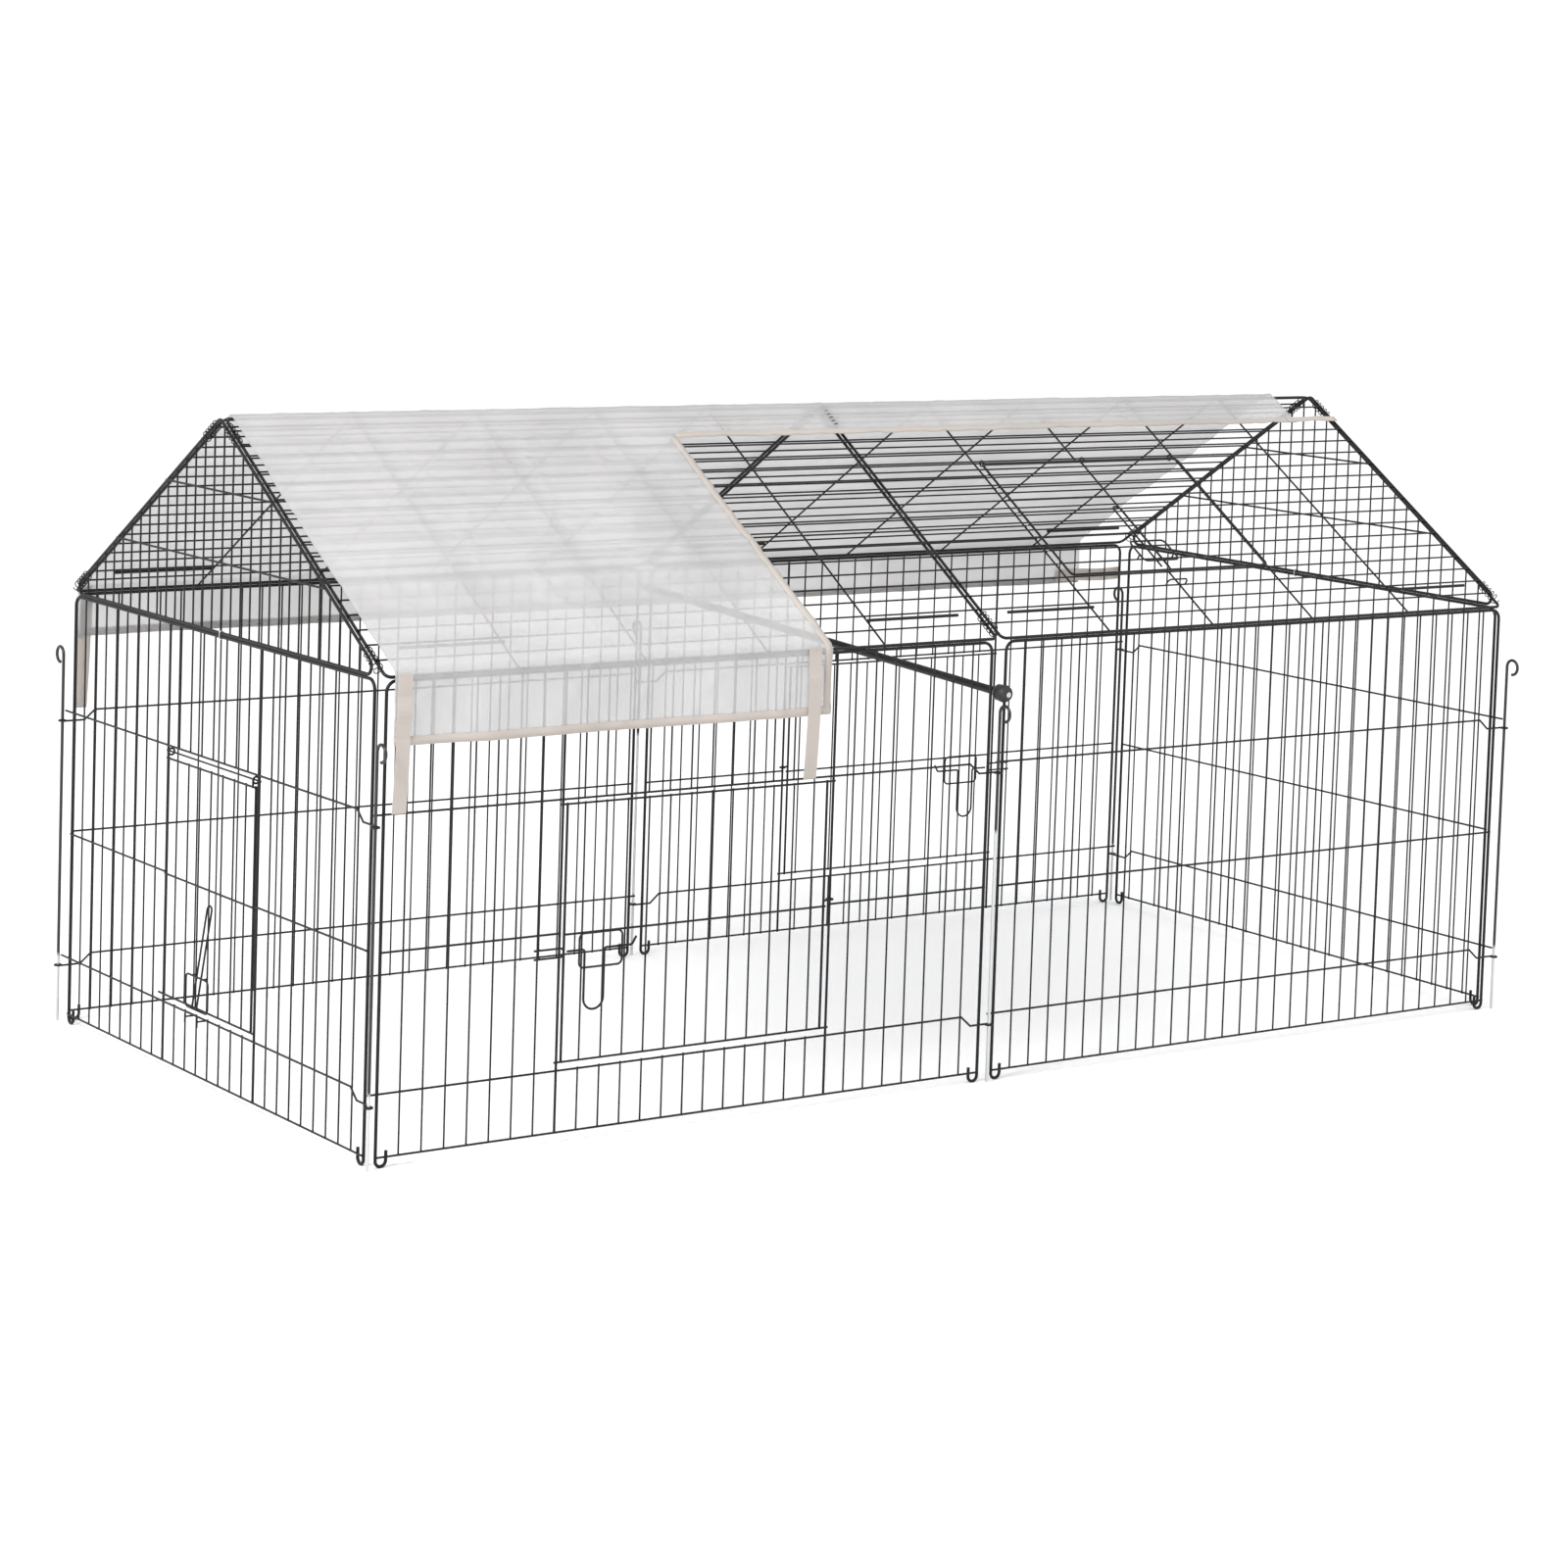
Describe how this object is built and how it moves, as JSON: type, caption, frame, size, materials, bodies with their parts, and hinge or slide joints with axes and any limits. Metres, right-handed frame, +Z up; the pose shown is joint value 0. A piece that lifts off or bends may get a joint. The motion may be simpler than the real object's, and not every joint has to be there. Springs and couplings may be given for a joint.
{
  "type": "outdoor dog kennel",
  "caption": "Outdoor wire dog run with a gable mesh roof, side and end doors, a roof hatch, drop-in pins and an L-shaped rain cover.",
  "frame": {"origin": "on the ground at the middle of the run", "axes": "+X along the ridge, +Y from the front wall to the back wall, +Z up"},
  "size_m": [2.2358, 1.1016, 1.0431],
  "materials": {
    "black_wire": "satin",
    "bright_zinc": "satin",
    "knob_plastic": "matte",
    "cover_cloth": "matte",
    "strap_webbing": "matte"
  },
  "bodies": {
    "run": {"front_left_panel": "black_wire", "front_right_panel": "black_wire", "back_left_panel": "black_wire", "back_right_panel": "black_wire", "left_end_panel": "black_wire", "right_end_panel": "black_wire", "roof_front_left": "black_wire", "roof_front_right": "black_wire", "roof_back_left": "black_wire", "roof_back_right": "black_wire", "left_gable": "black_wire", "right_gable": "black_wire", "spiral_clips": "black_wire", "gable_ties": "bright_zinc", "cross_tube": "black_wire", "tube_plugs": "knob_plastic", "tube_washers": "bright_zinc", "back_screw": "bright_zinc", "rain_cover": "cover_cloth", "cover_straps": "strap_webbing"},
    "front_door": {"front_door": "black_wire"},
    "front_bolt": {"front_door_bolt": "black_wire"},
    "back_door": {"back_door": "black_wire"},
    "back_bolt": {"back_door_bolt": "black_wire"},
    "end_door": {"end_door": "black_wire"},
    "end_bolt": {"end_door_bolt": "black_wire"},
    "hatch": {"roof_hatch": "black_wire"},
    "hatch_bolt": {"hatch_bolt": "black_wire"},
    "knob": {"tube_knob": "knob_plastic", "knob_screw": "bright_zinc"},
    "front_left_pin": {"front_left_pin": "bright_zinc"},
    "front_middle_pin": {"front_middle_pin": "bright_zinc"},
    "front_right_pin": {"front_right_pin": "bright_zinc"},
    "back_left_pin": {"back_left_pin": "bright_zinc"},
    "back_middle_pin": {"back_middle_pin": "bright_zinc"},
    "back_right_pin": {"back_right_pin": "bright_zinc"}
  },
  "joints": [
    {"name": "front_door_hinge", "type": "hinge", "parent": "run", "child": "front_door", "pos_m": [-0.3111, -0.515, 0.31], "axis": [0, 0, 1], "range_deg": [0, 130]},
    {"name": "back_door_hinge", "type": "hinge", "parent": "run", "child": "back_door", "pos_m": [0.3111, 0.515, 0.31], "axis": [0, 0, 1], "range_deg": [0, 130]},
    {"name": "front_bolt_slide", "type": "slide", "parent": "front_door", "child": "front_bolt", "axis": [-1, 0, 0], "range_m": [-0.02, 0.014]},
    {"name": "back_bolt_slide", "type": "slide", "parent": "back_door", "child": "back_bolt", "axis": [1, 0, 0], "range_m": [-0.02, 0.014]},
    {"name": "end_door_hinge", "type": "hinge", "parent": "run", "child": "end_door", "pos_m": [-1.1, 0, 0.5008], "axis": [0, 1, 0], "range_deg": [0, 95]},
    {"name": "end_bolt_slide", "type": "slide", "parent": "end_door", "child": "end_bolt", "axis": [-0.1478, 0, -0.989], "range_m": [0, 0.009]},
    {"name": "hatch_hinge", "type": "hinge", "parent": "run", "child": "hatch", "pos_m": [0.44, -0.14691, 0.94109], "axis": [-1, 0, 0], "range_deg": [0, 110]},
    {"name": "hatch_bolt_slide", "type": "slide", "parent": "hatch", "child": "hatch_bolt", "axis": [0, -0.8465, -0.5324], "range_m": [0, 0.048]},
    {"name": "knob_turn", "type": "hinge", "parent": "run", "child": "knob", "pos_m": [0, -0.5185, 0.621], "axis": [0, 0.9991, 0.0424], "range_deg": [0, 360]},
    {"name": "front_left_pin_lift", "type": "slide", "parent": "run", "child": "front_left_pin", "axis": [0, 0, 1], "range_m": [0, 0.56]},
    {"name": "front_middle_pin_lift", "type": "slide", "parent": "run", "child": "front_middle_pin", "axis": [0, 0, 1], "range_m": [0, 0.003]},
    {"name": "front_right_pin_lift", "type": "slide", "parent": "run", "child": "front_right_pin", "axis": [0, 0, 1], "range_m": [0, 0.56]},
    {"name": "back_left_pin_lift", "type": "slide", "parent": "run", "child": "back_left_pin", "axis": [0, 0, 1], "range_m": [0, 0.56]},
    {"name": "back_middle_pin_lift", "type": "slide", "parent": "run", "child": "back_middle_pin", "axis": [0, 0, 1], "range_m": [0, 0.025]},
    {"name": "back_right_pin_lift", "type": "slide", "parent": "run", "child": "back_right_pin", "axis": [0, 0, 1], "range_m": [0, 0.56]}
  ]
}
